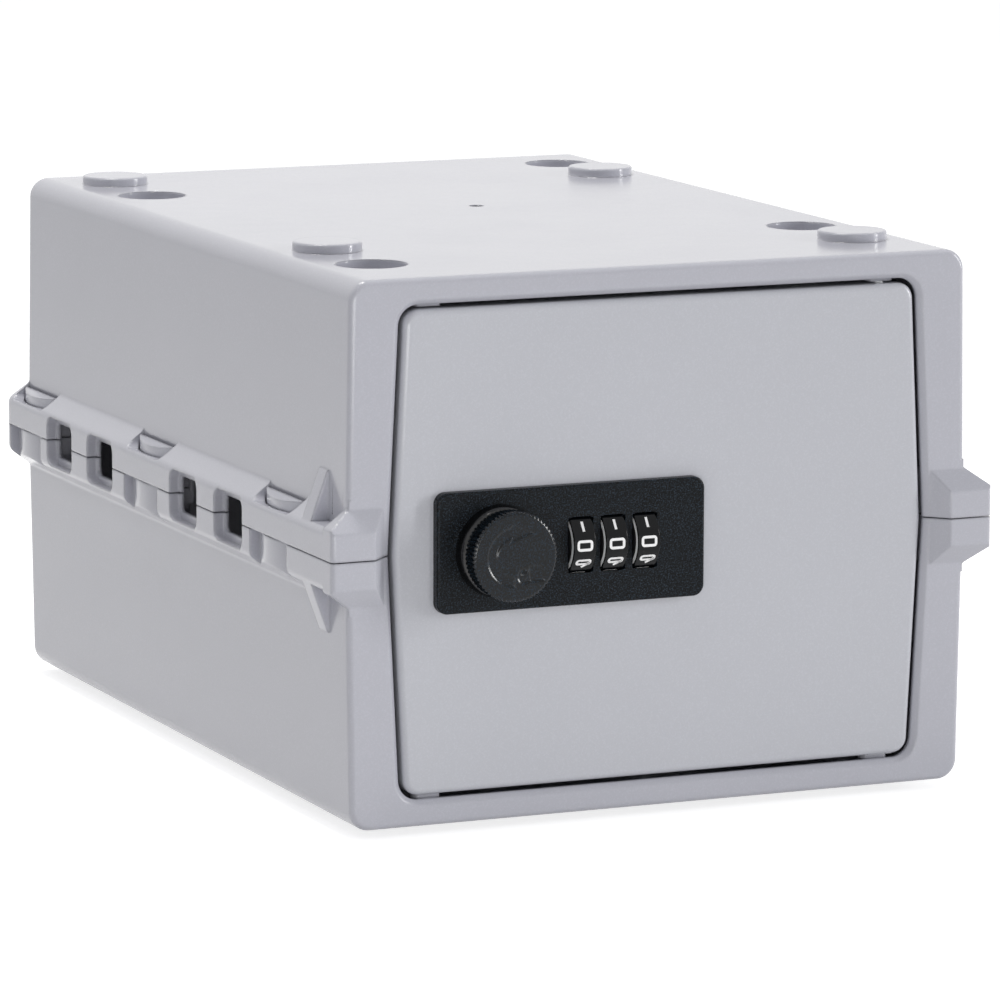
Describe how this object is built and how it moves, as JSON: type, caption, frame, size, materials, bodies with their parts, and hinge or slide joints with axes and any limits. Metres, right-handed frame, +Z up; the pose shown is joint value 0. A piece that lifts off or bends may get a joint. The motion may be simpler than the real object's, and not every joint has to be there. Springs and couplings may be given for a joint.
{
  "type": "lockable storage box",
  "caption": "Free-standing plastic storage box of two clipped shells with a hinged front door and a combination dial lock, stackable by discs.",
  "frame": {"origin": "on the plane the box stands on, under the middle of its whole width and of its whole depth with knob and band", "axes": "+X to the right seen from the front, +Y from the door towards the rear wall, +Z up"},
  "size_m": [0.225, 0.3198, 0.176],
  "materials": {
    "shell_grey": "fine satin texture",
    "door_grey": "fine satin texture",
    "plate_black": "fine grain, satin",
    "housing_black": "satin",
    "knob_black": "satin",
    "collar_black": "polished",
    "wheel_black": "satin, white numbers",
    "core_pale": "satin",
    "zinc_steel": "zinc plated",
    "spring_steel": "drawn wire and strip"
  },
  "bodies": {
    "case": {"upper_shell": "shell_grey", "lower_shell": "shell_grey", "hinge_pin_upper": "zinc_steel", "hinge_pin_lower": "zinc_steel"},
    "front_door": {"door": "door_grey", "lock_plate": "plate_black", "lock_housing": "housing_black", "lock_screw_left": "zinc_steel", "lock_screw_right": "zinc_steel", "knob_collar": "collar_black", "dial_axle": "zinc_steel", "detent_spring": "spring_steel", "bar_spring": "spring_steel"},
    "turn_knob": {"knob": "knob_black", "spindle": "zinc_steel", "latch": "zinc_steel", "latch_washer": "zinc_steel", "latch_nut": "zinc_steel"},
    "wheel_1": {"dial_1": "wheel_black", "dial_core_1": "core_pale"},
    "wheel_2": {"dial_2": "wheel_black", "dial_core_2": "core_pale"},
    "wheel_3": {"dial_3": "wheel_black", "dial_core_3": "core_pale"},
    "bar": {"lock_bar": "zinc_steel"},
    "reset": {"reset_screw": "zinc_steel"}
  },
  "joints": [
    {"name": "door_hinge", "type": "hinge", "parent": "case", "child": "front_door", "pos_m": [0.077, -0.1371, 0.088], "axis": [0, 0, 1], "range_deg": [0, 110]},
    {"name": "knob_turn", "type": "hinge", "parent": "front_door", "child": "turn_knob", "pos_m": [-0.0565, -0.1439, 0.088], "axis": [0, 1, 0], "range_deg": [-90, 0]},
    {"name": "wheel_1_turn", "type": "hinge", "parent": "front_door", "child": "wheel_1", "pos_m": [-0.0293, -0.1412, 0.088], "axis": [1, 0, 0], "continuous": true},
    {"name": "wheel_2_turn", "type": "hinge", "parent": "front_door", "child": "wheel_2", "pos_m": [-0.01845, -0.1412, 0.088], "axis": [1, 0, 0], "continuous": true},
    {"name": "wheel_3_turn", "type": "hinge", "parent": "front_door", "child": "wheel_3", "pos_m": [-0.0076, -0.1412, 0.088], "axis": [1, 0, 0], "continuous": true},
    {"name": "bar_slide", "type": "slide", "parent": "front_door", "child": "bar", "axis": [1, 0, 0], "range_m": [-0.0017, 0], "deforming": ["bar_spring"]},
    {"name": "reset_turn", "type": "hinge", "parent": "front_door", "child": "reset", "pos_m": [0.0025, -0.1266, 0.097], "axis": [0, 1, 0], "range_deg": [0, 90]}
  ],
  "couplings": [
    {"joint": "bar_slide", "follows": "knob_turn", "m_per_rad": 0.0010823}
  ]
}
